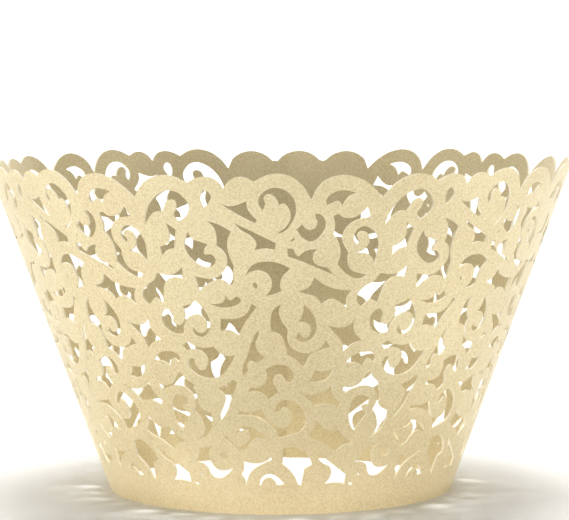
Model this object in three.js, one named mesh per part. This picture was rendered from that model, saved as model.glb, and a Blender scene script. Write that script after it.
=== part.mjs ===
// Filigree cupcake wrapper: one pearl card blank, cut in the flat and rolled into a cone.
// The rolled wrapper stands on its bottom edge at z = 0 with the cone's axis on Z.
// The middle repeat of the pattern faces -Y and the seam is at the back, towards +Y.

import * as THREE from 'three';

// Sizes in millimetres and angles in degrees
const baseDiameter = 50;
const mouthDiameter = 84.9;
const wallHeight = 47.8;
const cardThickness = 0.3;

// The pattern runs round the cone and leaves a plain strip for the seam
const repeats = 7;
const seamAngle = 31.7;
const lapAngle = 8;
const underEndAngle = 14;
const lapGap = 0.2;
const lapRampAngle = 7;
const lapClearAngle = 1;
const seamLobes = 3;
const seamLobeRise = 2.9;

// How finely curves are followed
const ringStepAngle = 5;
const seamStepAngle = 2.4;
const curveTolerance = 0.42;
const rimTolerance = 0.3;
const samplesPerSpan = 6;
const sharpAngle = 45;

// The cone that the card is rolled into
const baseRadius = baseDiameter / 2;
const mouthRadius = mouthDiameter / 2;
const halfAngle = Math.atan2(mouthRadius - baseRadius, wallHeight);
const slantHeight = wallHeight / Math.cos(halfAngle);
const apexDistance = baseRadius / Math.sin(halfAngle);
const repeatAngle = (360 - seamAngle) / repeats;
const overEndAngle = seamAngle + lapAngle - underEndAngle;

// Each cut-out is drawn on one repeat, x across from its centre line in hundredths of the
// repeat and y up from the foot in hundredths of the slant height. It is a list of strokes:
// a stroke starts at a sharp corner and runs smoothly through its points to the corner where
// the next one starts.
const cutouts = {
  boot: [
    [[-39.9, 20.9], [-44.7, 20.2]],
    [[-49.5, 20], [-50.6, 17.9], [-52.9, 16.1]],
    [[-57.2, 14.8], [-52.7, 15.5], [-48.7, 15.3], [-45.9, 14.3], [-44.4, 12.4]],
    [[-42.6, 11.2], [-38.2, 10.9], [-32.9, 12.2]],
    [[-28.7, 14.3], [-34, 13.4], [-38.9, 13.7], [-42.7, 16.1], [-43.3, 18.7]],
  ],
  lowCurl: [
    [[-30.9, 24.2]],
    [[-32.9, 23.4], [-28.1, 21.3]],
    [[-24.6, 19.3], [-19.7, 20.3], [-17.4, 22.2], [-13, 23.5], [-8.8, 23]],
    [[-6, 22.8], [-11.6, 25.3], [-18.5, 27], [-23.6, 26.3]],
    [[-25.4, 24.8], [-22, 25.3], [-19.6, 26.1], [-17.7, 24.8], [-18.1, 22.8], [-21.3, 21.4],
      [-25.2, 21], [-28.3, 22.5]],
  ],
  leftHand: [
    [[-22.2, 16.4], [-14.5, 15.8], [-8.8, 16.5]],
    [[-5.4, 17.9]],
    [[-5, 16.9], [-11.5, 15.4], [-17.4, 13.5], [-20.2, 11.2]],
    [[-21.8, 8.8], [-22.5, 11.1]],
    [[-24.4, 12.4], [-22.5, 13.7]],
  ],
  arch: [
    [[-13.3, 9.1], [-11.8, 11.3], [-7.2, 12.6], [-2.7, 12]],
    [[2.8, 9.4]],
    [[-2.2, 9.2], [-4.1, 10.8], [-7.2, 11.5], [-10.5, 10.7]],
    [[-12, 9.1]],
  ],
  mushroom: [
    [[1.6, 20.4], [8.1, 20.8], [14.2, 19.4], [18.1, 16.9]],
    [[19.3, 15.3]],
    [[14.7, 14.1], [14, 11.9]],
    [[13.1, 8.9]],
    [[11, 9.3], [9, 11.6], [4.9, 14.1]],
    [[1.3, 15.6]],
  ],
  flag: [
    [[20.9, 19.5]],
    [[41.4, 11.9]],
    [[41.3, 9], [36.3, 9.5]],
    [[27.8, 9.3], [30.9, 11.2], [30.7, 14.1], [25.1, 15.9], [21.8, 17.8]],
  ],
  lowStar: [
    [[15.9, 24.3], [18.6, 26.4]],
    [[20.5, 29], [23, 27.1], [28.3, 25.4]],
    [[33.6, 25.9], [37, 23.7]],
    [[42.2, 22.1]],
    [[42.2, 21.2], [38, 21.1]],
    [[33.1, 19], [26.8, 21.4], [19.4, 23]],
  ],
  tallLeaf: [
    [[42.8, 24.8], [39.2, 27.8], [38.2, 32], [41.2, 35.5], [45.5, 35.8]],
    [[49.3, 34.9]],
    [[49, 33.1], [45.3, 32.6], [46.6, 31.4]],
    [[49.4, 30.3], [45.9, 27.9], [43.7, 26]],
  ],
  longGap: [
    [[-67.7, 39.4], [-64.3, 38.4], [-58.2, 39.4], [-55.1, 41.9]],
    [[-52.6, 43], [-50.3, 41]],
    [[-45.3, 39]],
    [[-46.7, 38.5], [-44.7, 35.6], [-44.3, 32.7]],
    [[-38.1, 30.6], [-38.4, 27.5], [-42.3, 24.2]],
    [[-48.6, 22.6], [-43.9, 25.2], [-44.7, 28.7]],
    [[-48.2, 31.5], [-46.6, 33.7], [-49, 37.4], [-54.9, 38.7], [-61.3, 38]],
    [[-66, 36.6]],
  ],
  sideLeaf: [
    [[-22, 40.1]],
    [[-24.1, 41.1], [-28, 39.5]],
    [[-33.3, 38.3], [-29.5, 36.2], [-30.6, 33.1], [-33.1, 30.6]],
    [[-33.1, 28.5], [-29.3, 31.2], [-25.4, 36]],
  ],
  bigHook: [
    [[-22.8, 31.9], [-16.8, 31.3]],
    [[-10.2, 32.4], [-6.5, 29], [-0.8, 26.7], [5.3, 27.7], [5.6, 30.7], [2.4, 32.9], [-0.8, 31.4]],
    [[-3.2, 31.3], [-1.6, 33.7], [3.1, 35.1], [10.3, 33.3], [14.1, 30], [12.4, 26], [5.4, 24.4]],
    [[-0.8, 23.5], [-2.5, 25.7], [-7.3, 28.3], [-14.5, 30.2]],
    [[-23.8, 30.3]],
  ],
  questionMark: [
    [[-16.8, 37.4]],
    [[-15.6, 38.6], [-9.6, 39.1], [-6.6, 41.7]],
    [[-7.5, 44.2], [-1.5, 45.5], [4.8, 44.7], [7, 42.1], [4.6, 40.2], [1.7, 41.8], [-0.8, 42.7],
      [-3.6, 40.7], [-2.1, 38.7]],
    [[-0.9, 37.3]],
    [[-6.2, 35], [-9.7, 37.1]],
  ],
  midStar: [
    [[8.1, 37.9], [14, 36.6], [20.2, 36.9]],
    [[26.9, 39], [28.5, 36.3]],
    [[33.1, 33.6]],
    [[31.7, 32.4], [26.2, 33.5]],
    [[18.3, 33.1], [14.5, 35.4]],
  ],
  bat: [
    [[14.3, 40.6], [16.6, 42]],
    [[17.3, 43.6], [22.1, 43.4]],
    [[26.9, 44.3], [25, 41.7], [18.7, 40.1]],
  ],
  slender: [
    [[-10, 55.8], [-10.1, 54.3], [-11.7, 51.8], [-10.2, 49.2]],
    [[-7.2, 47.7]],
    [[-11.7, 45.9], [-14.8, 46.6], [-16.5, 45.2], [-16.1, 43.8]],
    [[-18.9, 42.2], [-19.1, 44.1], [-15.7, 48.7], [-12.8, 53.4]],
  ],
  curlGap: [
    [[-49.1, 50.7]],
    [[-45.7, 51.9], [-42, 50.7], [-37, 50.2]],
    [[-32.4, 50.7], [-29.2, 48.6], [-25.6, 48]],
    [[-22.1, 48.3], [-27, 43.8], [-32.2, 41.6], [-39.1, 41.4], [-44.9, 42.9], [-47.1, 45.5],
      [-44.4, 47.1], [-42.9, 45], [-40.6, 43.5], [-37.3, 44.8], [-37, 48], [-41.8, 49.7]],
    [[-47.2, 49.3]],
  ],
  cupAndHook: [
    [[-45.6, 62.2], [-41.2, 63]],
    [[-38.6, 64.1], [-34.4, 60.9], [-32.9, 57], [-35.9, 53.9], [-39.9, 53.5], [-42.1, 55]],
    [[-41.1, 56.4], [-39.3, 54.7], [-36.5, 54.8], [-34.5, 57.1], [-37, 59.8], [-42.3, 59.3],
      [-45.7, 57]],
    [[-46.8, 54.3], [-52, 54.2], [-56.9, 56.8], [-55.9, 60.5], [-52.6, 61.2], [-50.6, 59.4],
      [-51.1, 57.5], [-48.5, 56.7], [-45.6, 58.4], [-44.7, 60.7]],
  ],
  block: [
    [[-27.7, 58.9]],
    [[-28.4, 55.3], [-24, 55.6]],
    [[-19.2, 54.2], [-16.8, 57.2], [-13.4, 60.1]],
    [[-10.4, 62.5]],
    [[-12.7, 63.4], [-15.1, 60.6], [-19.4, 59.1]],
  ],
  wave: [
    [[0.5, 63.3], [-0.3, 60.7], [1.4, 57.8], [3.7, 55.7], [3.6, 53.1], [6.1, 50.3], [12.4, 48.9],
      [18.5, 49.8]],
    [[22.4, 52.6], [23.6, 51.5]],
    [[24.8, 50.4], [19.3, 49.4], [14.6, 48], [13, 45.7]],
    [[11.4, 44.8], [7.7, 47]],
    [[3.7, 48.4], [2.7, 51.3], [0.4, 54.2]],
    [[-4.2, 55.4], [-4.3, 58.6], [-2.7, 61.7]],
  ],
  midHook: [
    [[10.9, 63.2], [14.8, 60.7], [17.3, 57.6], [16.8, 54.2], [13.3, 52.2], [8.9, 52.5]],
    [[7.3, 53.6]],
    [[9, 55], [11.4, 53.4], [14.2, 54.4], [14.2, 56.7], [11.5, 57.9]],
    [[8.3, 58], [10.3, 59.8]],
  ],
  highStar: [
    [[22.4, 56.9], [27.1, 56.2], [32.3, 56.6]],
    [[36, 59.1], [35.3, 56.4], [37, 54.1]],
    [[40.4, 52.2], [35.7, 51.3]],
    [[31.2, 49.1], [30.2, 51.8], [26.2, 54.6]],
  ],
  leaf: [
    [[33.3, 46], [37, 48], [42.4, 48.8], [47.7, 48.1], [48.8, 46.8]],
    [[47.8, 45.7], [45.1, 46.8], [43.4, 45.8]],
    [[42.5, 44.4], [39.4, 45.6], [36, 45.8]],
  ],
  moth: [
    [[-31.9, 63.1], [-27.5, 63.3], [-25.4, 64]],
    [[-24.3, 65.7], [-22.3, 64.3], [-19.1, 65.4], [-17.5, 64.3], [-20, 62.9], [-27.3, 62.1]],
  ],
  bandAndWedge: [
    [[-29.2, 86.9], [-24.2, 85.8]],
    [[-19.7, 84], [-21.4, 81.3], [-21.5, 78.4]],
    [[-19.5, 74], [-20, 71.7]],
    [[-19.9, 69.5], [-21.5, 68.7], [-23.7, 69.8], [-26.9, 70.2], [-30.7, 69.4]],
    [[-36, 66.9], [-36.7, 68.9]],
    [[-37.3, 71.1], [-32.5, 70.5], [-28.5, 70.6], [-24, 72.8], [-22.2, 75.9], [-23.7, 78.6]],
    [[-26.2, 79.9], [-25.9, 82.3], [-26.7, 84.9]],
  ],
  crescent: [
    [[-15, 71.4], [-11.6, 74.4], [-5.1, 75.5], [0.6, 74.8]],
    [[4.8, 73.4], [1.3, 71.1], [0.3, 68.4]],
    [[0.8, 66.9], [-2.3, 66.1]],
    [[-6.2, 65.7], [-3.6, 68], [-4.2, 71.1], [-7.8, 72.8], [-12, 72.6]],
  ],
  comma: [
    [[-37.7, 83.9], [-36.4, 81.9], [-33.1, 81]],
    [[-29.8, 80.2], [-31.7, 78.7]],
    [[-31.6, 77.3], [-28.6, 77.3], [-27.2, 75.5], [-30.4, 73.8], [-35.7, 74.9], [-39.9, 78.6],
      [-39.3, 81.9]],
  ],
  underBand: [
    [[8, 66.9], [12.6, 68]],
    [[15.2, 70.8], [20.9, 68.3], [28, 67.1]],
    [[32.5, 66.9], [30.6, 65]],
    [[30.8, 61.9], [27.1, 63.7], [22.9, 64.5]],
    [[19, 63.1], [15.8, 65.4], [11.7, 66.1]],
  ],
  bootAndWing: [
    [[44.7, 71.7], [42.5, 69.7], [37.6, 67.7], [35.2, 65.7], [35.7, 63.3]],
    [[37.6, 62.1]],
    [[41.6, 64.5]],
    [[45.4, 63], [46.4, 65.6], [47.8, 68.5], [50.7, 70.2], [54.2, 70.6]],
    [[57, 70.1]],
    [[57.5, 73.8], [54.2, 72], [50.8, 71.2]],
  ],
  archSlit: [
    [[21.6, 88.2], [23.3, 88.7], [26.4, 87.7], [30.9, 88]],
    [[35.5, 90.7], [36.4, 89.2]],
    [[37.4, 87.6], [32.3, 87.2], [27.6, 85], [26, 81.9]],
    [[29.2, 77.9], [29.1, 75.8], [31.5, 72.7], [35.2, 71.8]],
    [[38.6, 71.4], [35.5, 70.2], [30, 71.4]],
    [[24.8, 74.5], [25.7, 77.8], [24.2, 81.1]],
    [[22.1, 83.1], [22.5, 85.7]],
  ],
  spiral: [
    [[33, 77.7], [36.3, 78.9], [37.6, 81.4], [35.2, 83.7], [32.4, 83.1]],
    [[33.6, 80.9]],
    [[32.4, 79.9], [30.7, 82], [33.2, 84.9], [37.6, 84.6], [41.6, 81.3], [42, 77.6]],
    [[41.3, 74.8], [37.9, 77.2]],
  ],
  swoosh: [
    [[3.3, 79.2]],
    [[6.1, 79], [6.7, 77.6]],
    [[8, 76.9], [11.1, 78.5]],
    [[15.6, 79], [14.2, 76.8], [15.8, 74.5], [20.7, 73.5]],
    [[23.5, 71.5], [17.5, 73.2], [10.3, 75.2]],
    [[3.5, 76.9]],
  ],
  cane: [
    [[6.8, 84.5], [8, 85.2]],
    [[9.2, 86.1], [10.7, 84.8], [13.5, 84.5], [15.3, 86.3], [14.5, 87.8]],
    [[14.2, 89], [16.9, 88.5], [18.8, 85.8], [17, 82.8], [13.4, 81.1], [9.9, 82]],
  ],
  mainScroll: [
    [[-6.5, 89.9], [-8.2, 92], [-6.8, 94.5], [-2, 96.2], [3.5, 94.9], [6.6, 90.8], [4.9, 86.3],
      [1.2, 83.7]],
    [[-1.1, 83.4], [2.8, 85.4], [4.5, 87.8], [3.6, 90.6], [1.6, 91.9]],
    [[0.1, 91.3], [-1.2, 93.3], [-3.8, 94.5], [-5.9, 93.7], [-5.5, 91.6]],
  ],
  archTop: [
    [[18.8, 91.1], [18.5, 93], [21.8, 95], [26.4, 95.3]],
    [[30.2, 94.6], [27, 93.4]],
    [[25, 91.1], [23, 92.4], [20.9, 91.8]],
  ],
  fishtail: [
    [[-47, 86.3]],
    [[-42.9, 84.2], [-44, 81.5]],
    [[-44.7, 79], [-48.2, 78.4]],
    [[-51.1, 76.7]],
    [[-51.5, 79.3], [-48.1, 80.2], [-46.2, 82.4]],
  ],
  sideScroll: [
    [[-56.6, 85.2], [-55.6, 88.1], [-52.3, 91.9], [-47.2, 94.6], [-41.8, 95.2], [-37.4, 93.2],
      [-36, 90.4], [-38.3, 87.8]],
    [[-41.2, 86.6], [-42.9, 88.5], [-41.3, 90.6], [-41.7, 92.4], [-44.7, 92.4], [-46.6, 90.4]],
    [[-47.7, 89.3], [-50.8, 89.2], [-53.6, 87.7]],
  ],
  drop: [
    [[-30, 90.6], [-31, 93.2], [-29.1, 95.4], [-26.8, 94.4], [-27.7, 91.9]],
  ],
  dart: [
    [[-24.1, 92.1], [-19.7, 91.1], [-15.8, 91.6]],
    [[-12.8, 92.5], [-12.3, 90.1]],
    [[-8.8, 87.1]],
    [[-9.8, 86.3], [-16.9, 88.9]],
  ],
  longDart: [
    [[-18.1, 86.4]],
    [[-1.4, 80.7]],
    [[-1.9, 78.8], [-6, 79.2]],
    [[-10.4, 78.7], [-9.5, 80.4], [-11.5, 82.6], [-15.7, 84.4]],
  ],
};

// A bird's-eye hole punched in the boot's curl
const eyeCentre = [-34.2, 17.8];
const eyeRadius = 0.6;
const eyeSides = 6;

// The top edge of one repeat, from one deep valley to the next: four lobes and an arch
const rimStrokes = [
  [[-58.9, 93.1], [-54.4, 96.9], [-48.4, 99.2], [-41.6, 99.4]],
  [[-35.7, 97.5], [-31.6, 98.9], [-27.2, 99.2], [-23.8, 98.2]],
  [[-21.5, 96], [-18.6, 98.4], [-14.4, 99.3]],
  [[-9.6, 98], [-4.6, 99.7], [1.4, 100], [7.6, 97.8]],
  [[12.6, 92.9], [15.5, 96.9], [21.9, 99.4], [29.5, 99], [36, 96.5]],
];

const radians = THREE.MathUtils.degToRad;
const degrees = THREE.MathUtils.radToDeg;

// Where a place on the wall, an angle about the axis and a slant height, lies on the flat
// blank, with the apex at the origin
function onBlank({ angle, slant }) {
  const flatAngle = radians(angle) * Math.sin(halfAngle);
  const reach = apexDistance + slant;
  return new THREE.Vector2(reach * Math.sin(flatAngle), reach * Math.cos(flatAngle));
}

// The place on the wall of a point on the flat blank
function fromBlank(point) {
  return {
    angle: degrees(Math.atan2(point.x, point.y) / Math.sin(halfAngle)),
    slant: point.length() - apexDistance,
  };
}

// A drawn point of the middle repeat, on the flat blank
function drawnPoint([across, up]) {
  return onBlank({ angle: across / 100 * repeatAngle, slant: up / 100 * slantHeight });
}

// Points along one stroke, its end corner left out
function strokePoints(corners) {
  const points = corners.map((corner) => new THREE.Vector3(...drawnPoint(corner).toArray(), 0));
  const count = points.length === 2 ? 1 : (points.length - 1) * samplesPerSpan;
  const line = new THREE.CatmullRomCurve3(points).getPoints(count);
  return line.slice(0, -1).map(({ x, y }) => new THREE.Vector2(x, y));
}

// Points round a closed outline made of strokes
function outlinePoints(strokes) {
  return strokes.flatMap((stroke, i) => strokePoints([...stroke, strokes[(i + 1) % strokes.length][0]]));
}

// Distance of a point from the line between two others
function distanceFromChord(point, start, end) {
  const chord = new THREE.Line3(new THREE.Vector3(start.x, start.y), new THREE.Vector3(end.x, end.y));
  const query = new THREE.Vector3(point.x, point.y);
  return chord.closestPointToPoint(query, true, new THREE.Vector3()).distanceTo(query);
}

// Picks the points of a line that its chords need to stay within a tolerance of it
function keyPoints(points, tolerance, first, last) {
  const gaps = points.map((point, i) => (
    i > first && i < last ? distanceFromChord(point, points[first], points[last]) : 0));
  const widest = gaps.indexOf(Math.max(...gaps));
  if (gaps[widest] <= tolerance) return [first, last];
  const before = keyPoints(points, tolerance, first, widest);
  return [...before.slice(0, -1), ...keyPoints(points, tolerance, widest, last)];
}

// Mean distance by which a stretch of a line bulges to the right of its chord
function bulge(points, first, last) {
  const start = points[first];
  const chord = points[last].clone().sub(start);
  let area = 0;
  for (let i = first; i < last; i++) {
    area += points[i].clone().sub(start).cross(points[i + 1].clone().sub(start));
  }
  return area / 2 / chord.length();
}

// Follows a line with few chords. Each point that isn't a sharp corner is pushed out to where
// the chords beside it lie as much outside the curve as inside, so that widths stay true.
function followLine(points, tolerance) {
  const keys = keyPoints(points, tolerance, 0, points.length - 1);
  return keys.map((key, i) => {
    const point = points[key];
    if (i === 0 || i === keys.length - 1) return point;
    const into = point.clone().sub(points[key - 1]).normalize();
    const out = points[key + 1].clone().sub(point).normalize();
    if (into.angleTo(out) > radians(sharpAngle)) return point;
    const sideways = into.add(out).normalize().rotateAround(new THREE.Vector2(), -Math.PI / 2);
    const push = (bulge(points, keys[i - 1], key) + bulge(points, key, keys[i + 1])) / 2;
    return point.clone().addScaledVector(sideways, push);
  });
}

// The same for a closed outline, which is first split at its two most distant points
function followOutline(points, tolerance) {
  let widest = 0;
  let split = [0, 0];
  points.forEach((a, i) => points.slice(i + 1).forEach((b, j) => {
    if (a.distanceTo(b) > widest) {
      widest = a.distanceTo(b);
      split = [i, i + 1 + j];
    }
  }));
  const there = points.slice(split[0], split[1] + 1);
  const back = [...points.slice(split[1]), ...points.slice(0, split[0] + 1)];
  return [...followLine(there, tolerance).slice(0, -1), ...followLine(back, tolerance).slice(0, -1)];
}

// A drawn line of the middle repeat, moved to another one
function inRepeat(points, repeat) {
  const turn = (repeat - (repeats - 1) / 2) * repeatAngle;
  return points.map(fromBlank).map(({ angle, slant }) => ({ angle: angle + turn, slant }));
}

// Holes of every repeat
function patternHoles() {
  const outlines = Object.values(cutouts)
    .map((strokes) => followOutline(outlinePoints(strokes), curveTolerance));
  const eye = new THREE.EllipseCurve(...drawnPoint(eyeCentre).toArray(), eyeRadius, eyeRadius);
  outlines.push(eye.getPoints(eyeSides).slice(1));
  const everyRepeat = Array.from({ length: repeats }, (_, repeat) => repeat);
  return everyRepeat.flatMap((repeat) => outlines.map((outline) => inRepeat(outline, repeat)));
}

// The top edge of the middle repeat, the valley at its far end left out
function rimPoints() {
  const [across, up] = rimStrokes[0][0];
  const ends = [...rimStrokes.slice(1).map((stroke) => stroke[0]), [across + 100, up]];
  return rimStrokes.flatMap((stroke, i) => {
    const line = [...strokePoints([...stroke, ends[i]]), drawnPoint(ends[i])];
    return followLine(line, rimTolerance).slice(0, -1);
  });
}

// Angles from one to another in even steps of at most a given length, the end left out
function steppedAngles(from, to, step) {
  const count = Math.ceil(Math.abs(to - from) / step);
  return Array.from({ length: count }, (_, i) => from + (to - from) * i / count);
}

// Outline of the blank, anticlockwise with the bottom edge first
function blankOutline() {
  const patternEnd = repeats * repeatAngle / 2;
  const leftEdge = -patternEnd - overEndAngle;
  const rightEdge = patternEnd + underEndAngle;
  const rimLine = rimPoints();
  const firstValley = inRepeat(rimLine, 0)[0];
  const lastValley = inRepeat(rimLine, repeats)[0];
  const seamLobe = (angle) => {
    const across = (THREE.MathUtils.euclideanModulo(angle, 360) - lastValley.angle)
      / (firstValley.angle + 360 - lastValley.angle);
    return firstValley.slant + seamLobeRise * Math.sqrt(Math.abs(Math.sin(Math.PI * seamLobes * across)));
  };
  const underAngles = steppedAngles(rightEdge, lastValley.angle, seamStepAngle);
  const overAngles = [
    ...steppedAngles(firstValley.angle, rampStart(), seamStepAngle),
    ...steppedAngles(rampStart(), leftEdge, seamStepAngle),
    leftEdge,
  ].slice(1);
  const rim = Array.from({ length: repeats }, (_, repeat) => inRepeat(rimLine, repeat)).flat().reverse();
  const bottom = [
    ...[...overAngles].reverse(),
    ...steppedAngles(firstValley.angle, lastValley.angle, ringStepAngle),
    lastValley.angle,
    ...[...underAngles].reverse(),
  ];
  return [
    ...bottom.map((angle) => ({ angle, slant: 0 })),
    ...underAngles.map((angle) => ({ angle, slant: seamLobe(angle) })),
    lastValley,
    ...rim,
    ...overAngles.map((angle) => ({ angle, slant: seamLobe(angle) })),
  ];
}

// Where the over end, coming from the pattern, starts to rise over the under end
function rampStart() {
  return -repeats * repeatAngle / 2 - seamAngle + underEndAngle - lapClearAngle;
}

// How far the over end stands off the cone, so that it clears the under end
function lapLift(angle) {
  const risen = 1 - THREE.MathUtils.smoothstep(angle, rampStart(), rampStart() + lapRampAngle);
  return angle < 0 ? (cardThickness / Math.cos(halfAngle) + lapGap) * risen : 0;
}

// The same point on the rolled wrapper, on the outer face or the inner one
function onWrapper({ angle, slant }, inside) {
  const wall = inside ? cardThickness / Math.cos(halfAngle) : 0;
  const radius = baseRadius + slant * Math.sin(halfAngle) + lapLift(angle) - wall;
  return [
    radius * Math.sin(radians(angle)),
    -radius * Math.cos(radians(angle)),
    slant * Math.cos(halfAngle),
  ];
}

// Edges of a triangulation, each with the triangles on its two sides
function triangleEdges(triangles) {
  const edges = new Map();
  triangles.forEach((triangle, index) => triangle.forEach((from, corner) => {
    const to = triangle[(corner + 1) % 3];
    const opposite = triangle[(corner + 2) % 3];
    const key = from < to ? `${from} ${to}` : `${to} ${from}`;
    if (!edges.has(key)) edges.set(key, []);
    edges.get(key).push({ index, from, to, opposite });
  }));
  return [...edges.values()];
}

// Twice the signed area of a triangle of flat points
function cross(a, b, c) {
  return (b.x - a.x) * (c.y - a.y) - (b.y - a.y) * (c.x - a.x);
}

// Whether the angles that face an edge add up to more than half a turn
function facingAnglesTooWide(a, b, left, right) {
  const facing = (corner) => {
    const toA = a.clone().sub(corner);
    const toB = b.clone().sub(corner);
    return Math.abs(Math.atan2(toA.cross(toB), toA.dot(toB)));
  };
  const slack = 1e-6;
  return facing(left) + facing(right) > Math.PI + slack;
}

// Turns edges inside a triangulation until no triangle is a needless sliver, so that the
// facets stay small and follow the cone
function flipSlivers(points, triangles) {
  let flipped = true;
  while (flipped) {
    flipped = false;
    const touched = new Set();
    for (const sides of triangleEdges(triangles)) {
      if (sides.length < 2 || sides.some((side) => touched.has(side.index))) continue;
      const [side, other] = sides;
      const [a, b, left, right] = [side.from, side.to, side.opposite, other.opposite].map((i) => points[i]);
      const convex = cross(a, right, left) > 0 && cross(b, left, right) > 0;
      if (!convex || !facingAnglesTooWide(a, b, left, right)) continue;
      triangles[side.index] = [side.from, other.opposite, side.opposite];
      triangles[other.index] = [side.to, side.opposite, other.opposite];
      touched.add(side.index).add(other.index);
      flipped = true;
    }
  }
}

// The rolled card: outer face, inner face and the cut edges between them
function wrapperGeometry() {
  const outline = blankOutline();
  const holes = patternHoles();
  const places = [outline, ...holes].flat();
  const points = places.map(onBlank);
  const flatHoles = holes.map((hole) => hole.map(onBlank));
  const triangles = THREE.ShapeUtils.triangulateShape(outline.map(onBlank), flatHoles)
    .map(([a, b, c]) => (cross(points[a], points[b], points[c]) > 0 ? [a, b, c] : [a, c, b]));
  flipSlivers(points, triangles);

  const count = places.length;
  const faces = triangles.flatMap(([a, b, c]) => [[a, b, c], [c + count, b + count, a + count]]);
  for (const sides of triangleEdges(triangles)) {
    if (sides.length > 1) continue;
    const { from, to } = sides[0];
    faces.push([to, from, from + count], [to, from + count, to + count]);
  }

  const positions = [false, true].flatMap((inside) => places.flatMap((place) => onWrapper(place, inside)));
  const geometry = new THREE.BufferGeometry();
  geometry.setAttribute('position', new THREE.Float32BufferAttribute(positions, 3));
  geometry.setIndex(faces.flat());
  geometry.computeVertexNormals();
  return geometry;
}

const pearlCard = new THREE.MeshStandardMaterial({
  color: 0xdfcfa2,
  roughness: 0.5,
  metalness: 0.15,
  flatShading: true,
});

const wrapper = new THREE.Mesh(wrapperGeometry(), pearlCard);
wrapper.name = 'wrapper';

const group = new THREE.Group();
group.add(wrapper);

export default group;
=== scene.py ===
import math

import bpy
from mathutils import Matrix, Vector


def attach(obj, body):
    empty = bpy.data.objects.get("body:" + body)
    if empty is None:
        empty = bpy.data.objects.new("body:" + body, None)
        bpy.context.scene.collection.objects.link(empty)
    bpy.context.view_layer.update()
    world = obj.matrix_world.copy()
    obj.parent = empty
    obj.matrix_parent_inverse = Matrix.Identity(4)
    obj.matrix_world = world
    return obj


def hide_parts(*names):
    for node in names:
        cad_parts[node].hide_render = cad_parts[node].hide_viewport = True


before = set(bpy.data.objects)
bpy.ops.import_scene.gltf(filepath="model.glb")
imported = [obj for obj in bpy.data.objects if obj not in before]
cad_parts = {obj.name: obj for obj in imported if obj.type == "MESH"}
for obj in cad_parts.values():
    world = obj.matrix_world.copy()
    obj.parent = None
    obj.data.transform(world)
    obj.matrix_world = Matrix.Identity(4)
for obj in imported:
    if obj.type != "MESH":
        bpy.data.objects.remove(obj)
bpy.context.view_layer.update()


# The camera: a long lens a little above the rim, looking down at the front of the wrapper
lens_mm = 167.3
camera_place = Vector((0.00067, -0.3846, 0.0655))
camera_pitch = math.radians(4.82)
camera_roll = math.radians(0.21)

sight = Vector((0, math.cos(camera_pitch), -math.sin(camera_pitch)))
above = Vector((0, math.sin(camera_pitch), math.cos(camera_pitch)))
across = Vector((1, 0, 0))
right = across * math.cos(camera_roll) - above * math.sin(camera_roll)
upright = across * math.sin(camera_roll) + above * math.cos(camera_roll)
camera = bpy.data.objects.new("camera", bpy.data.cameras.new("camera"))
camera.data.lens = lens_mm
camera.data.clip_start = 0.01
camera_turn = Matrix((right, upright, -sight)).transposed().to_4x4()
camera.matrix_world = Matrix.Translation(camera_place) @ camera_turn
bpy.context.collection.objects.link(camera)
bpy.context.scene.camera = camera


# The wrapper: one blank of 0.3 mm pearl card, laser-cut in the flat with a repeat of
# scrolling vines under a lobed rim, then rolled into a cone whose ends lap at the back.
base_diameter = 0.050
mouth_diameter = 0.0849
wall_height = 0.0478
card_thickness = 0.0003
repeats = 7
seam_angle = math.radians(31.7)
under_end_angle = math.radians(14)
lap_angle = math.radians(8)
lap_gap = 0.0002
lap_ramp_angle = math.radians(7)
lap_clear_angle = math.radians(1)
seam_lobes = 3
seam_lobe_rise = 0.0029

# How finely the curves and the plain ends are made, and where those ends begin: past the
# vines that overhang the last repeat and the first
curve_steps = 6
edge_step_angle = math.radians(1.2)
plain_past_last = math.radians(4.5)
plain_past_first = math.radians(9.5)
plain_rows = 24
joining_distance = 1e-5
welding_distance = 1e-6
crisp_angle = math.radians(30)

base_radius = base_diameter / 2
half_angle = math.atan2(mouth_diameter / 2 - base_radius, wall_height)
slant_height = wall_height / math.cos(half_angle)
apex_distance = base_radius / math.sin(half_angle)
repeat_angle = (math.tau - seam_angle) / repeats
over_end_angle = seam_angle + lap_angle - under_end_angle

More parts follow.
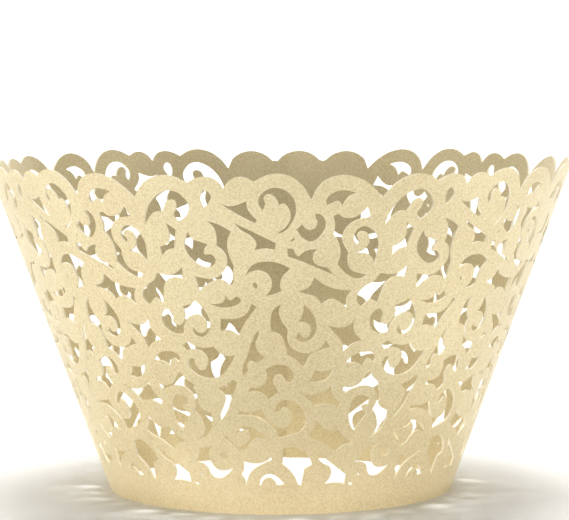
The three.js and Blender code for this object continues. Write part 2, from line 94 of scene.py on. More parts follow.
# The cut-outs of one repeat and its rim, drawn in hundredths of the repeat across from its
# centre line and of the slant height up from the foot. A cut-out is a list of strokes: each
# starts at a sharp corner and runs smoothly on to the corner where the next one starts.
cutouts = {
    "boot": [
        [[-39.9, 20.9], [-44.7, 20.2]],
        [[-49.5, 20], [-50.6, 17.9], [-52.9, 16.1]],
        [[-57.2, 14.8], [-52.7, 15.5], [-48.7, 15.3], [-45.9, 14.3], [-44.4, 12.4]],
        [[-42.6, 11.2], [-38.2, 10.9], [-32.9, 12.2]],
        [[-28.7, 14.3], [-34, 13.4], [-38.9, 13.7], [-42.7, 16.1], [-43.3, 18.7]],
    ],
    "low_curl": [
        [[-30.9, 24.2]],
        [[-32.9, 23.4], [-28.1, 21.3]],
        [[-24.6, 19.3], [-19.7, 20.3], [-17.4, 22.2], [-13, 23.5], [-8.8, 23]],
        [[-6, 22.8], [-11.6, 25.3], [-18.5, 27], [-23.6, 26.3]],
        [[-25.4, 24.8], [-22, 25.3], [-19.6, 26.1], [-17.7, 24.8], [-18.1, 22.8], [-21.3, 21.4],
          [-25.2, 21], [-28.3, 22.5]],
    ],
    "left_hand": [
        [[-22.2, 16.4], [-14.5, 15.8], [-8.8, 16.5]],
        [[-5.4, 17.9]],
        [[-5, 16.9], [-11.5, 15.4], [-17.4, 13.5], [-20.2, 11.2]],
        [[-21.8, 8.8], [-22.5, 11.1]],
        [[-24.4, 12.4], [-22.5, 13.7]],
    ],
    "arch": [
        [[-13.3, 9.1], [-11.8, 11.3], [-7.2, 12.6], [-2.7, 12]],
        [[2.8, 9.4]],
        [[-2.2, 9.2], [-4.1, 10.8], [-7.2, 11.5], [-10.5, 10.7]],
        [[-12, 9.1]],
    ],
    "mushroom": [
        [[1.6, 20.4], [8.1, 20.8], [14.2, 19.4], [18.1, 16.9]],
        [[19.3, 15.3]],
        [[14.7, 14.1], [14, 11.9]],
        [[13.1, 8.9]],
        [[11, 9.3], [9, 11.6], [4.9, 14.1]],
        [[1.3, 15.6]],
    ],
    "flag": [
        [[20.9, 19.5]],
        [[41.4, 11.9]],
        [[41.3, 9], [36.3, 9.5]],
        [[27.8, 9.3], [30.9, 11.2], [30.7, 14.1], [25.1, 15.9], [21.8, 17.8]],
    ],
    "low_star": [
        [[15.9, 24.3], [18.6, 26.4]],
        [[20.5, 29], [23, 27.1], [28.3, 25.4]],
        [[33.6, 25.9], [37, 23.7]],
        [[42.2, 22.1]],
        [[42.2, 21.2], [38, 21.1]],
        [[33.1, 19], [26.8, 21.4], [19.4, 23]],
    ],
    "tall_leaf": [
        [[42.8, 24.8], [39.2, 27.8], [38.2, 32], [41.2, 35.5], [45.5, 35.8]],
        [[49.3, 34.9]],
        [[49, 33.1], [45.3, 32.6], [46.6, 31.4]],
        [[49.4, 30.3], [45.9, 27.9], [43.7, 26]],
    ],
    "long_gap": [
        [[-67.7, 39.4], [-64.3, 38.4], [-58.2, 39.4], [-55.1, 41.9]],
        [[-52.6, 43], [-50.3, 41]],
        [[-45.3, 39]],
        [[-46.7, 38.5], [-44.7, 35.6], [-44.3, 32.7]],
        [[-38.1, 30.6], [-38.4, 27.5], [-42.3, 24.2]],
        [[-48.6, 22.6], [-43.9, 25.2], [-44.7, 28.7]],
        [[-48.2, 31.5], [-46.6, 33.7], [-49, 37.4], [-54.9, 38.7], [-61.3, 38]],
        [[-66, 36.6]],
    ],
    "side_leaf": [
        [[-22, 40.1]],
        [[-24.1, 41.1], [-28, 39.5]],
        [[-33.3, 38.3], [-29.5, 36.2], [-30.6, 33.1], [-33.1, 30.6]],
        [[-33.1, 28.5], [-29.3, 31.2], [-25.4, 36]],
    ],
    "big_hook": [
        [[-22.8, 31.9], [-16.8, 31.3]],
        [[-10.2, 32.4], [-6.5, 29], [-0.8, 26.7], [5.3, 27.7], [5.6, 30.7], [2.4, 32.9], [-0.8, 31.4]],
        [[-3.2, 31.3], [-1.6, 33.7], [3.1, 35.1], [10.3, 33.3], [14.1, 30], [12.4, 26], [5.4, 24.4]],
        [[-0.8, 23.5], [-2.5, 25.7], [-7.3, 28.3], [-14.5, 30.2]],
        [[-23.8, 30.3]],
    ],
    "question_mark": [
        [[-16.8, 37.4]],
        [[-15.6, 38.6], [-9.6, 39.1], [-6.6, 41.7]],
        [[-7.5, 44.2], [-1.5, 45.5], [4.8, 44.7], [7, 42.1], [4.6, 40.2], [1.7, 41.8], [-0.8, 42.7],
          [-3.6, 40.7], [-2.1, 38.7]],
        [[-0.9, 37.3]],
        [[-6.2, 35], [-9.7, 37.1]],
    ],
    "mid_star": [
        [[8.1, 37.9], [14, 36.6], [20.2, 36.9]],
        [[26.9, 39], [28.5, 36.3]],
        [[33.1, 33.6]],
        [[31.7, 32.4], [26.2, 33.5]],
        [[18.3, 33.1], [14.5, 35.4]],
    ],
    "bat": [
        [[14.3, 40.6], [16.6, 42]],
        [[17.3, 43.6], [22.1, 43.4]],
        [[26.9, 44.3], [25, 41.7], [18.7, 40.1]],
    ],
    "slender": [
        [[-10, 55.8], [-10.1, 54.3], [-11.7, 51.8], [-10.2, 49.2]],
        [[-7.2, 47.7]],
        [[-11.7, 45.9], [-14.8, 46.6], [-16.5, 45.2], [-16.1, 43.8]],
        [[-18.9, 42.2], [-19.1, 44.1], [-15.7, 48.7], [-12.8, 53.4]],
    ],
    "curl_gap": [
        [[-49.1, 50.7]],
        [[-45.7, 51.9], [-42, 50.7], [-37, 50.2]],
        [[-32.4, 50.7], [-29.2, 48.6], [-25.6, 48]],
        [[-22.1, 48.3], [-27, 43.8], [-32.2, 41.6], [-39.1, 41.4], [-44.9, 42.9], [-47.1, 45.5],
          [-44.4, 47.1], [-42.9, 45], [-40.6, 43.5], [-37.3, 44.8], [-37, 48], [-41.8, 49.7]],
        [[-47.2, 49.3]],
    ],
    "cup_and_hook": [
        [[-45.6, 62.2], [-41.2, 63]],
        [[-38.6, 64.1], [-34.4, 60.9], [-32.9, 57], [-35.9, 53.9], [-39.9, 53.5], [-42.1, 55]],
        [[-41.1, 56.4], [-39.3, 54.7], [-36.5, 54.8], [-34.5, 57.1], [-37, 59.8], [-42.3, 59.3],
          [-45.7, 57]],
        [[-46.8, 54.3], [-52, 54.2], [-56.9, 56.8], [-55.9, 60.5], [-52.6, 61.2], [-50.6, 59.4],
          [-51.1, 57.5], [-48.5, 56.7], [-45.6, 58.4], [-44.7, 60.7]],
    ],
    "block": [
        [[-27.7, 58.9]],
        [[-28.4, 55.3], [-24, 55.6]],
        [[-19.2, 54.2], [-16.8, 57.2], [-13.4, 60.1]],
        [[-10.4, 62.5]],
        [[-12.7, 63.4], [-15.1, 60.6], [-19.4, 59.1]],
    ],
    "wave": [
        [[0.5, 63.3], [-0.3, 60.7], [1.4, 57.8], [3.7, 55.7], [3.6, 53.1], [6.1, 50.3], [12.4, 48.9],
          [18.5, 49.8]],
        [[22.4, 52.6], [23.6, 51.5]],
        [[24.8, 50.4], [19.3, 49.4], [14.6, 48], [13, 45.7]],
        [[11.4, 44.8], [7.7, 47]],
        [[3.7, 48.4], [2.7, 51.3], [0.4, 54.2]],
        [[-4.2, 55.4], [-4.3, 58.6], [-2.7, 61.7]],
    ],
    "mid_hook": [
        [[10.9, 63.2], [14.8, 60.7], [17.3, 57.6], [16.8, 54.2], [13.3, 52.2], [8.9, 52.5]],
        [[7.3, 53.6]],
        [[9, 55], [11.4, 53.4], [14.2, 54.4], [14.2, 56.7], [11.5, 57.9]],
        [[8.3, 58], [10.3, 59.8]],
    ],
    "high_star": [
        [[22.4, 56.9], [27.1, 56.2], [32.3, 56.6]],
        [[36, 59.1], [35.3, 56.4], [37, 54.1]],
        [[40.4, 52.2], [35.7, 51.3]],
        [[31.2, 49.1], [30.2, 51.8], [26.2, 54.6]],
    ],
    "leaf": [
        [[33.3, 46], [37, 48], [42.4, 48.8], [47.7, 48.1], [48.8, 46.8]],
        [[47.8, 45.7], [45.1, 46.8], [43.4, 45.8]],
        [[42.5, 44.4], [39.4, 45.6], [36, 45.8]],
    ],
    "moth": [
        [[-31.9, 63.1], [-27.5, 63.3], [-25.4, 64]],
        [[-24.3, 65.7], [-22.3, 64.3], [-19.1, 65.4], [-17.5, 64.3], [-20, 62.9], [-27.3, 62.1]],
    ],
    "band_and_wedge": [
        [[-29.2, 86.9], [-24.2, 85.8]],
        [[-19.7, 84], [-21.4, 81.3], [-21.5, 78.4]],
        [[-19.5, 74], [-20, 71.7]],
        [[-19.9, 69.5], [-21.5, 68.7], [-23.7, 69.8], [-26.9, 70.2], [-30.7, 69.4]],
        [[-36, 66.9], [-36.7, 68.9]],
        [[-37.3, 71.1], [-32.5, 70.5], [-28.5, 70.6], [-24, 72.8], [-22.2, 75.9], [-23.7, 78.6]],
        [[-26.2, 79.9], [-25.9, 82.3], [-26.7, 84.9]],
    ],
    "crescent": [
        [[-15, 71.4], [-11.6, 74.4], [-5.1, 75.5], [0.6, 74.8]],
        [[4.8, 73.4], [1.3, 71.1], [0.3, 68.4]],
        [[0.8, 66.9], [-2.3, 66.1]],
        [[-6.2, 65.7], [-3.6, 68], [-4.2, 71.1], [-7.8, 72.8], [-12, 72.6]],
    ],
    "comma": [
        [[-37.7, 83.9], [-36.4, 81.9], [-33.1, 81]],
        [[-29.8, 80.2], [-31.7, 78.7]],
        [[-31.6, 77.3], [-28.6, 77.3], [-27.2, 75.5], [-30.4, 73.8], [-35.7, 74.9], [-39.9, 78.6],
          [-39.3, 81.9]],
    ],
    "under_band": [
        [[8, 66.9], [12.6, 68]],
        [[15.2, 70.8], [20.9, 68.3], [28, 67.1]],
        [[32.5, 66.9], [30.6, 65]],
        [[30.8, 61.9], [27.1, 63.7], [22.9, 64.5]],
        [[19, 63.1], [15.8, 65.4], [11.7, 66.1]],
    ],
    "boot_and_wing": [
        [[44.7, 71.7], [42.5, 69.7], [37.6, 67.7], [35.2, 65.7], [35.7, 63.3]],
        [[37.6, 62.1]],
        [[41.6, 64.5]],
        [[45.4, 63], [46.4, 65.6], [47.8, 68.5], [50.7, 70.2], [54.2, 70.6]],
        [[57, 70.1]],
        [[57.5, 73.8], [54.2, 72], [50.8, 71.2]],
    ],
    "arch_slit": [
        [[21.6, 88.2], [23.3, 88.7], [26.4, 87.7], [30.9, 88]],
        [[35.5, 90.7], [36.4, 89.2]],
        [[37.4, 87.6], [32.3, 87.2], [27.6, 85], [26, 81.9]],
        [[29.2, 77.9], [29.1, 75.8], [31.5, 72.7], [35.2, 71.8]],
        [[38.6, 71.4], [35.5, 70.2], [30, 71.4]],
        [[24.8, 74.5], [25.7, 77.8], [24.2, 81.1]],
        [[22.1, 83.1], [22.5, 85.7]],
    ],
    "spiral": [
        [[33, 77.7], [36.3, 78.9], [37.6, 81.4], [35.2, 83.7], [32.4, 83.1]],
        [[33.6, 80.9]],
        [[32.4, 79.9], [30.7, 82], [33.2, 84.9], [37.6, 84.6], [41.6, 81.3], [42, 77.6]],
        [[41.3, 74.8], [37.9, 77.2]],
    ],
    "swoosh": [
        [[3.3, 79.2]],
        [[6.1, 79], [6.7, 77.6]],
        [[8, 76.9], [11.1, 78.5]],
        [[15.6, 79], [14.2, 76.8], [15.8, 74.5], [20.7, 73.5]],
        [[23.5, 71.5], [17.5, 73.2], [10.3, 75.2]],
        [[3.5, 76.9]],
    ],
    "cane": [
        [[6.8, 84.5], [8, 85.2]],
        [[9.2, 86.1], [10.7, 84.8], [13.5, 84.5], [15.3, 86.3], [14.5, 87.8]],
        [[14.2, 89], [16.9, 88.5], [18.8, 85.8], [17, 82.8], [13.4, 81.1], [9.9, 82]],
    ],
    "main_scroll": [
        [[-6.5, 89.9], [-8.2, 92], [-6.8, 94.5], [-2, 96.2], [3.5, 94.9], [6.6, 90.8], [4.9, 86.3],
          [1.2, 83.7]],
        [[-1.1, 83.4], [2.8, 85.4], [4.5, 87.8], [3.6, 90.6], [1.6, 91.9]],
        [[0.1, 91.3], [-1.2, 93.3], [-3.8, 94.5], [-5.9, 93.7], [-5.5, 91.6]],
    ],
    "arch_top": [
        [[18.8, 91.1], [18.5, 93], [21.8, 95], [26.4, 95.3]],
        [[30.2, 94.6], [27, 93.4]],
        [[25, 91.1], [23, 92.4], [20.9, 91.8]],
    ],
    "fishtail": [
        [[-47, 86.3]],
        [[-42.9, 84.2], [-44, 81.5]],
        [[-44.7, 79], [-48.2, 78.4]],
        [[-51.1, 76.7]],
        [[-51.5, 79.3], [-48.1, 80.2], [-46.2, 82.4]],
    ],
    "side_scroll": [
        [[-56.6, 85.2], [-55.6, 88.1], [-52.3, 91.9], [-47.2, 94.6], [-41.8, 95.2], [-37.4, 93.2],
          [-36, 90.4], [-38.3, 87.8]],
        [[-41.2, 86.6], [-42.9, 88.5], [-41.3, 90.6], [-41.7, 92.4], [-44.7, 92.4], [-46.6, 90.4]],
        [[-47.7, 89.3], [-50.8, 89.2], [-53.6, 87.7]],
    ],
    "drop": [
        [[-30, 90.6], [-31, 93.2], [-29.1, 95.4], [-26.8, 94.4], [-27.7, 91.9]],
    ],
    "dart": [
        [[-24.1, 92.1], [-19.7, 91.1], [-15.8, 91.6]],
        [[-12.8, 92.5], [-12.3, 90.1]],
        [[-8.8, 87.1]],
        [[-9.8, 86.3], [-16.9, 88.9]],
    ],
    "long_dart": [
        [[-18.1, 86.4]],
        [[-1.4, 80.7]],
        [[-1.9, 78.8], [-6, 79.2]],
        [[-10.4, 78.7], [-9.5, 80.4], [-11.5, 82.6], [-15.7, 84.4]],
    ],
}

rim_strokes = [
    [[-58.9, 93.1], [-54.4, 96.9], [-48.4, 99.2], [-41.6, 99.4]],
    [[-35.7, 97.5], [-31.6, 98.9], [-27.2, 99.2], [-23.8, 98.2]],
    [[-21.5, 96], [-18.6, 98.4], [-14.4, 99.3]],
    [[-9.6, 98], [-4.6, 99.7], [1.4, 100], [7.6, 97.8]],
    [[12.6, 92.9], [15.5, 96.9], [21.9, 99.4], [29.5, 99], [36, 96.5]],
]

# Round or oval holes punched in the vines: centre as above, then width, height and tilt
pin_holes = [
    ([-34.2, 17.8], 0.0012, 0.0012, 0),
    ([-10.7, 68.6], 0.0006, 0.0009, -20),
    ([-50.3, 11.7], 0.0004, 0.0004, 0),
    ([-54.8, 8.9], 0.0007, 0.0004, 0),
    ([5.5, 81.6], 0.0007, 0.00028, -40),
]


def on_blank(angle, slant):
    """Place on the flat blank, whose apex is at the origin, of a point on the rolled wall."""
    flat_angle = angle * math.sin(half_angle)
    reach = apex_distance + slant
    return Vector((reach * math.sin(flat_angle), reach * math.cos(flat_angle), 0))


def in_repeat(point):
    """Place on the flat blank of a drawn point of the middle repeat."""
    return on_blank(point[0] / 100 * repeat_angle, point[1] / 100 * slant_height)


def smooth_spline(curve, points, corners, closed):
    """Adds a spline that is sharp at its corners and smooth at its other points."""
    spline = curve.splines.new("BEZIER")
    spline.bezier_points.add(len(points) - 1)
    for knot, point, corner in zip(spline.bezier_points, points, corners):
        knot.co = point
        knot.handle_left_type = knot.handle_right_type = "VECTOR" if corner else "AUTO"
    spline.use_cyclic_u = closed
    spline.resolution_u = curve_steps


def hole_points(centre, width, height, tilt, count=8):
    """Points round an oval hole."""
    turn = Matrix.Rotation(-math.radians(tilt), 3, "Z")
    place = in_repeat(centre)
    for step in range(count):
        angle = math.tau * step / count
        yield place + turn @ Vector((width / 2 * math.cos(angle), height / 2 * math.sin(angle), 0))


def draw_repeat():
    """Draws one repeat of the pattern and of the rim as flat curves."""
    drawing = bpy.data.curves.new("repeat_drawing", "CURVE")
    drawing.dimensions = "3D"
    for strokes in cutouts.values():
        points = [in_repeat(point) for stroke in strokes for point in stroke]
        corners = [i == 0 for stroke in strokes for i in range(len(stroke))]
        smooth_spline(drawing, points, corners, True)
    for hole in pin_holes:
        points = list(hole_points(*hole))
        smooth_spline(drawing, points, [False] * len(points), True)
    next_valley = [rim_strokes[0][0][0] + 100, rim_strokes[0][0][1]]
    points = [in_repeat(point) for stroke in [*rim_strokes, [next_valley]] for point in stroke]
    corners = [i == 0 for stroke in rim_strokes for i in range(len(stroke))] + [True]
    smooth_spline(drawing, points, corners, False)
    return bpy.data.objects.new("repeat_drawing", drawing)


def stepped(start, end):
    """Angles from one to another in short even steps, both ends included."""
    count = max(1, math.ceil(abs(end - start) / edge_step_angle))
    return [start + (end - start) * i / count for i in range(count + 1)]


def draw_ends():
    """Draws the line that closes the patterned part, from the rim's last valley round by the
    foot to its first, and the plain ends past it as even sheets that bend with the wall."""
    valley_across, valley_up = rim_strokes[0][0]
    valley_slant = valley_up / 100 * slant_height
    middle = (repeats - 1) / 2
    first_valley = (valley_across / 100 - middle) * repeat_angle
    last_valley = first_valley + repeats * repeat_angle
    left_edge = -repeats * repeat_angle / 2 - over_end_angle
    right_edge = repeats * repeat_angle / 2 + under_end_angle
    plain_left = -repeats * repeat_angle / 2 - plain_past_first
    plain_right = repeats * repeat_angle / 2 + plain_past_last

    def rim_slant(angle):
        along = (angle % math.tau - last_valley) / (first_valley + math.tau - last_valley)
        rise = math.sqrt(abs(math.sin(math.pi * seam_lobes * along)))
        return valley_slant + seam_lobe_rise * rise

    def upright(angle):
        return [on_blank(angle, rim_slant(angle) * row / plain_rows) for row in range(plain_rows + 1)]

    points = [on_blank(angle, rim_slant(angle)) for angle in stepped(last_valley, plain_right)]
    points += upright(plain_right)[-2:0:-1]
    points += [on_blank(angle, 0) for angle in stepped(plain_right, plain_left)]
    points += upright(plain_left)[1:-1]
    points += [on_blank(angle, rim_slant(angle)) for angle in stepped(plain_left, first_valley)]

    corners, faces = [], []
    for angles in (stepped(left_edge, plain_left), stepped(plain_right, right_edge)):
        for column, angle in enumerate(angles):
            start = len(corners)
            corners += upright(angle)
            if column:
                before = start - plain_rows - 1
                faces += [(before + row, start + row, start + row + 1, before + row + 1)
                          for row in range(plain_rows)]
    sheets = bpy.data.meshes.new("end_sheets")
    sheets.from_pydata(corners, [], faces)

    line = bpy.data.curves.new("end_drawing", "CURVE")
    line.dimensions = "3D"
    spline = line.splines.new("POLY")
    spline.points.add(len(points) - 1)
    for knot, point in zip(spline.points, points):
        knot.co = (*point, 1)
    return bpy.data.objects.new("end_drawing", line), bpy.data.objects.new("end_sheets", sheets)


class Maker:
    """Adds nodes to a tree, geometry or shader, from a type, its values and its settings."""

    def __init__(self, tree):
        self.tree = tree

    def link(self, value, socket):
        if isinstance(value, Value):
            value = value.socket
        if isinstance(value, bpy.types.NodeSocket):
            self.tree.links.new(value, socket)
        elif value is not None:
            socket.default_value = value

    def node(self, kind, *values, named=None, **settings):
        node = self.tree.nodes.new(kind)
        for name, value in settings.items():
            setattr(node, name, value)
        for slot, value in enumerate(values):
            self.link(value, node.inputs[slot])
        for name, value in (named or {}).items():
            self.link(value, node.inputs[name])
        return Value(self, node.outputs[0], node) if node.outputs else node

    def colour_mix(self, share, first, second, blend="MIX"):
        node = self.tree.nodes.new("ShaderNodeMix")
        node.data_type = "RGBA"
        node.blend_type = blend
        for slot, value in ((0, share), (6, first), (7, second)):
            self.link(value, node.inputs[slot])
        return Value(self, node.outputs[2], node)


class Value:
    """One output of a node, with the operators that sizes and masks are written in."""

    def __init__(self, maker, socket, node=None):
        self.maker, self.socket, self.made_by = maker, socket, node

    def output(self, name):
        return Value(self.maker, self.made_by.outputs[name], self.made_by)

    def _math(self, operation, *values):
        return self.maker.node("ShaderNodeMath", *values, operation=operation)

    def __add__(self, other):
        return self._math("ADD", self, other)

    __radd__ = __add__

    def __sub__(self, other):
        return self._math("SUBTRACT", self, other)

    def __rsub__(self, other):
        return self._math("SUBTRACT", other, self)

    def __mul__(self, other):
        return self._math("MULTIPLY", self, other)

    __rmul__ = __mul__

    def __truediv__(self, other):
        return self._math("DIVIDE", self, other)

    def __rtruediv__(self, other):
        return self._math("DIVIDE", other, self)

    def __neg__(self):
        return self._math("MULTIPLY", self, -1.0)

    def __gt__(self, other):
        return self._math("GREATER_THAN", self, other)

    def sin(self):
        return self._math("SINE", self)

    def cos(self):
        return self._math("COSINE", self)

    def smooth_step(self, start, end):
        return self.maker.node("ShaderNodeMapRange", self, start, end, 0.0, 1.0,
                               interpolation_type="SMOOTHSTEP")


def rolling_tree():
    """Turns the drawing round the blank's apex, cuts the card by it, and rolls the card up."""
    tree = bpy.data.node_groups.new("rolled_card", "GeometryNodeTree")
    inputs = [
        ("Repeat drawing", "NodeSocketGeometry"), ("End drawing", "NodeSocketObject"),
        ("End sheets", "NodeSocketObject"),
        ("Repeats", "NodeSocketInt"), ("Repeat angle", "NodeSocketFloat"),
        ("Base radius", "NodeSocketFloat"), ("Half angle", "NodeSocketFloat"),
        ("Card thickness", "NodeSocketFloat"), ("Lap start", "NodeSocketFloat"),
        ("Lap ramp", "NodeSocketFloat"), ("Lap rise", "NodeSocketFloat"),
        ("Card", "NodeSocketMaterial"), ("Cut edge", "NodeSocketMaterial"),
    ]
    for name, kind in inputs:
        tree.interface.new_socket(name, in_out="INPUT", socket_type=kind)
    tree.interface.new_socket("Rolled card", in_out="OUTPUT", socket_type="NodeSocketGeometry")
    make = Maker(tree)
    given = tree.nodes.new("NodeGroupInput")
    size = {socket.name: Value(make, socket) for socket in given.outputs if socket.name}

    # The pattern is turned about the apex, one copy for each repeat
    marks = make.node("GeometryNodePoints", size["Repeats"])
    copy = make.node("GeometryNodeInputIndex")
    flat_turn = size["Repeat angle"] * size["Half angle"].sin()
    turn = (copy - (size["Repeats"] - 1) / 2) * flat_turn
    copies = make.node("GeometryNodeInstanceOnPoints", marks, named={
        "Instance": size["Repeat drawing"],
        "Rotation": make.node("ShaderNodeCombineXYZ", 0.0, 0.0, -turn),
    })
    lines = make.node("GeometryNodeJoinGeometry", make.node("GeometryNodeRealizeInstances", copies))
    ends = make.node("GeometryNodeObjectInfo", size["End drawing"]).output("Geometry")
    make.link(ends, lines.made_by.inputs[0])

    # The rims and the end drawing close into one outline, which the card fills up to its
    # cut-outs; the plain ends join it, and then it gets its thickness
    wires = make.node("GeometryNodeCurveToMesh", lines)
    wires = make.node("GeometryNodeMergeByDistance", wires, named={"Distance": joining_distance})
    sheet = make.node("GeometryNodeFillCurve", make.node("GeometryNodeMeshToCurve", wires))
    sheet = make.node("GeometryNodeJoinGeometry", sheet)
    plain = make.node("GeometryNodeObjectInfo", size["End sheets"]).output("Geometry")
    make.link(plain, sheet.made_by.inputs[0])
    sheet = make.node("GeometryNodeMergeByDistance", sheet, named={"Distance": joining_distance})
    upwards = make.node("ShaderNodeCombineXYZ", 0.0, 0.0, size["Card thickness"])
    raised = make.node("GeometryNodeExtrudeMesh", sheet, named={"Offset": upwards, "Individual": False})
    cut = raised.output("Side")
    card = make.node("GeometryNodeJoinGeometry", raised)
    make.link(make.node("GeometryNodeFlipFaces", sheet), card.made_by.inputs[0])
    card = make.node("GeometryNodeMergeByDistance", card, named={"Distance": welding_distance})

    # Flat to rolled: lengths from the apex and along arcs stay as they were
    flat = make.node("ShaderNodeSeparateXYZ", make.node("GeometryNodeInputPosition"))
    x, y, depth = flat.output("X"), flat.output("Y"), flat.output("Z")
    reach = x._math("SQRT", x * x + y * y)
    sine, cosine = size["Half angle"].sin(), size["Half angle"].cos()
    angle = x._math("ARCTAN2", x, y) / sine
    slant = reach - size["Base radius"] / sine
    lift = size["Lap rise"] * (1 - angle.smooth_step(size["Lap start"], size["Lap start"] + size["Lap ramp"]))
    radius = size["Base radius"] + slant * sine + lift - (size["Card thickness"] - depth) / cosine
    place = make.node("ShaderNodeCombineXYZ", radius * angle.sin(), -(radius * angle.cos()), slant * cosine)
    card = make.node("GeometryNodeSetPosition", card, named={"Position": place})

    # Crisp cut edges on a smooth wall
    card = make.node("GeometryNodeSetShadeSmooth", card)
    fold = make.node("GeometryNodeInputMeshEdgeAngle") > crisp_angle
    card = make.node("GeometryNodeStoreNamedAttribute", card, None, "sharp_edge", fold,
                     data_type="BOOLEAN", domain="EDGE")
    card = make.node("GeometryNodeRealizeInstances", card)
    card = make.node("GeometryNodeSetMaterial", card, named={"Material": size["Card"]})
    card = make.node("GeometryNodeSetMaterial", card, named={"Selection": cut, "Material": size["Cut edge"]})
    make.node("NodeGroupOutput", card)
    return tree


# Pearl card: champagne stock with a fine glitter of mica in its coating
pearl_light = (0.84, 0.735, 0.47, 1)
pearl_deep = (0.60, 0.475, 0.24, 1)
pearl_flake = (0.98, 0.92, 0.76, 1)
cut_edge_colour = (0.90, 0.84, 0.68, 1)
cloud_scale, cloud_share = 60.0, 0.2
grain_scale, grain_share = 3600.0, 0.55
flake_scale, flake_share = 5200.0, 0.3
fibre_scale, fibre_share = 3000.0, 0.4
relief_depth = 0.00005


def shader_tree(name):
    material = bpy.data.materials.new(name)
    material.use_nodes = True
    material.node_tree.nodes.clear()
    return material, Maker(material.node_tree)


def pearl_card():
    material, make = shader_tree("pearl_card")
    place = make.node("ShaderNodeTexCoord").output("Object")

    def noise(scale, detail, roughness):
        return make.node("ShaderNodeTexNoise", named={
            "Vector": place, "Scale": scale, "Detail": detail, "Roughness": roughness})

    cloud = noise(cloud_scale, 2.0, 0.5).smooth_step(0.35, 0.65)
    grain = noise(grain_scale, 2.0, 0.6)
    flakes = noise(flake_scale, 0.0, 0.0).smooth_step(0.58, 0.70)
    depth = cloud * cloud_share + grain.smooth_step(0.35, 0.70) * grain_share
    colour = make.colour_mix(depth, pearl_light, pearl_deep)
    colour = make.colour_mix(flakes * flake_share, colour, pearl_flake)
    relief = make.node("ShaderNodeBump", named={
        "Strength": 0.6, "Distance": relief_depth, "Height": grain})
    surface = make.node("ShaderNodeBsdfPrincipled", named={
        "Base Color": colour,
        "Metallic": flakes * 0.2 + 0.45,
        "Roughness": 0.46 + (grain - 0.5) * 0.2,
        "Coat Weight": 0.2,
        "Coat Roughness": 0.3,
        "Normal": relief,
    })
    make.node("ShaderNodeOutputMaterial", surface)
    return material


def cut_card():
    material, make = shader_tree("cut_card")
    place = make.node("ShaderNodeTexCoord").output("Object")
    fibre = make.node("ShaderNodeTexNoise", named={"Vector": place, "Scale": fibre_scale, "Detail": 2.0})
    colour = make.colour_mix(fibre * fibre_share, cut_edge_colour, pearl_light)
    surface = make.node("ShaderNodeBsdfPrincipled", named={
        "Base Color": colour, "Roughness": 0.75 + (fibre - 0.5) * 0.1})
    make.node("ShaderNodeOutputMaterial", surface)
    return material


def roll_wrapper():
    """Evaluates the drawing through the rolling tree into one plain mesh."""
    drawing = draw_repeat()
    ends, sheets = draw_ends()
    for helper in (drawing, ends, sheets):
        bpy.context.collection.objects.link(helper)
    sizes = {
        "End drawing": ends, "End sheets": sheets, "Repeats": repeats, "Repeat angle": repeat_angle,
        "Base radius": base_radius, "Half angle": half_angle, "Card thickness": card_thickness,
        "Lap start": -repeats * repeat_angle / 2 - seam_angle + under_end_angle - lap_clear_angle,
        "Lap ramp": lap_ramp_angle, "Lap rise": card_thickness / math.cos(half_angle) + lap_gap,
        "Card": pearl_card(), "Cut edge": cut_card(),
    }
    roll = drawing.modifiers.new("roll", "NODES")
    roll.node_group = rolling_tree()
    for socket in roll.node_group.interface.items_tree:
        if socket.name in sizes:
            roll[socket.identifier] = sizes[socket.name]
    evaluated = drawing.evaluated_get(bpy.context.evaluated_depsgraph_get())
    mesh = bpy.data.meshes.new_from_object(evaluated)
    drawing.modifiers.remove(roll)
    for helper in (drawing, ends, sheets):
        bpy.data.objects.remove(helper)
    mesh.name = "wrapper_card"
    return bpy.data.objects.new("wrapper_card", mesh)


wrapper = roll_wrapper()
bpy.context.collection.objects.link(wrapper)
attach(wrapper, "root")
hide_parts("wrapper")


# The floor: a plain pale sweep of paper that the wrapper stands on, curving up behind it
floor_colour = (0.94, 0.94, 0.935, 1)
floor_half_width = 2.5
floor_front = -1.2
sweep_start = 0.45
sweep_radius = 0.5
backdrop_height = 2.0
sweep_steps = 24


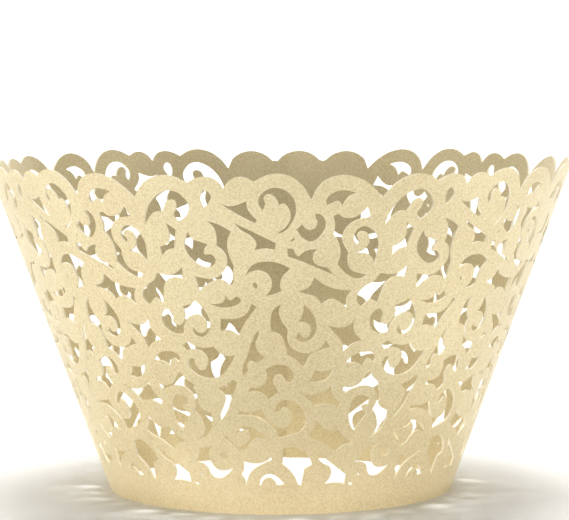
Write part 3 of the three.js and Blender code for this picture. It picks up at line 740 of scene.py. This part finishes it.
def pale_sweep():
    material, make = shader_tree("pale_sweep")
    surface = make.node("ShaderNodeBsdfPrincipled", named={"Base Color": floor_colour, "Roughness": 0.9})
    make.node("ShaderNodeOutputMaterial", surface)
    profile = [(floor_front, 0)]
    for step in range(sweep_steps + 1):
        turn = math.pi / 2 * step / sweep_steps
        profile.append((sweep_start + sweep_radius * math.sin(turn), sweep_radius * (1 - math.cos(turn))))
    profile.append((sweep_start + sweep_radius, backdrop_height))
    points = [(side * floor_half_width, y, z) for y, z in profile for side in (-1, 1)]
    faces = [(i, i + 1, i + 3, i + 2) for i in range(0, len(points) - 2, 2)]
    mesh = bpy.data.meshes.new("sweep")
    mesh.from_pydata(points, [], faces)
    mesh.shade_smooth()
    mesh.materials.append(material)
    return bpy.data.objects.new("sweep", mesh)


sweep = pale_sweep()
bpy.context.collection.objects.link(sweep)


# The light: low soft lamps at both sides and in front, which reach the outer wall more than
# the inside, two narrow strips that brighten the foot band, a weak room light, and one lamp
# that whitens the backdrop
room_colour = (1.0, 0.99, 0.97, 1)
room_strength = 0.1
wrapper_middle = (0, 0, 0.025)
foot_middle = (0, 0, 0.002)
foot_lamp_length = 0.4
foot_lamp_height = 0.008
foot_lamp_spread = math.radians(3)


def light_room():
    world = bpy.data.worlds.new("room")
    bpy.context.scene.world = world
    world.use_nodes = True
    background = world.node_tree.nodes["Background"]
    background.inputs["Color"].default_value = room_colour
    background.inputs["Strength"].default_value = room_strength


def soft_lamp(name, place, aim, width, power, colour=(1, 0.98, 0.95)):
    lamp = bpy.data.objects.new(name, bpy.data.lights.new(name, "AREA"))
    lamp.data.shape = "DISK"
    lamp.data.size = width
    lamp.data.energy = power
    lamp.data.color = colour
    lamp.location = place
    lamp.rotation_euler = (Vector(aim) - Vector(place)).to_track_quat("-Z", "Y").to_euler()
    bpy.context.collection.objects.link(lamp)
    return lamp


light_room()
soft_lamp("left_lamp", (-0.75, -0.30, 0.09), wrapper_middle, 0.24, 2.6)
soft_lamp("right_lamp", (0.75, -0.22, 0.09), wrapper_middle, 0.24, 2.3)
soft_lamp("front_lamp", (-0.2, -0.9, 0.07), wrapper_middle, 0.3, 2.2)
for name, place, power in (("left_foot_lamp", (-0.40, -0.45, 0.006), 0.008),
                           ("right_foot_lamp", (0.40, -0.45, 0.006), 0.007)):
    foot_lamp = soft_lamp(name, place, foot_middle, foot_lamp_length, power)
    foot_lamp.data.shape = "RECTANGLE"
    foot_lamp.data.size_y = foot_lamp_height
    foot_lamp.data.spread = foot_lamp_spread
soft_lamp("backdrop_lamp", (0.0, 0.2, 1.0), (0, 0.9, 0.2), 0.5, 14, (1, 1, 1))
bpy.context.scene.view_settings.view_transform = "Standard"
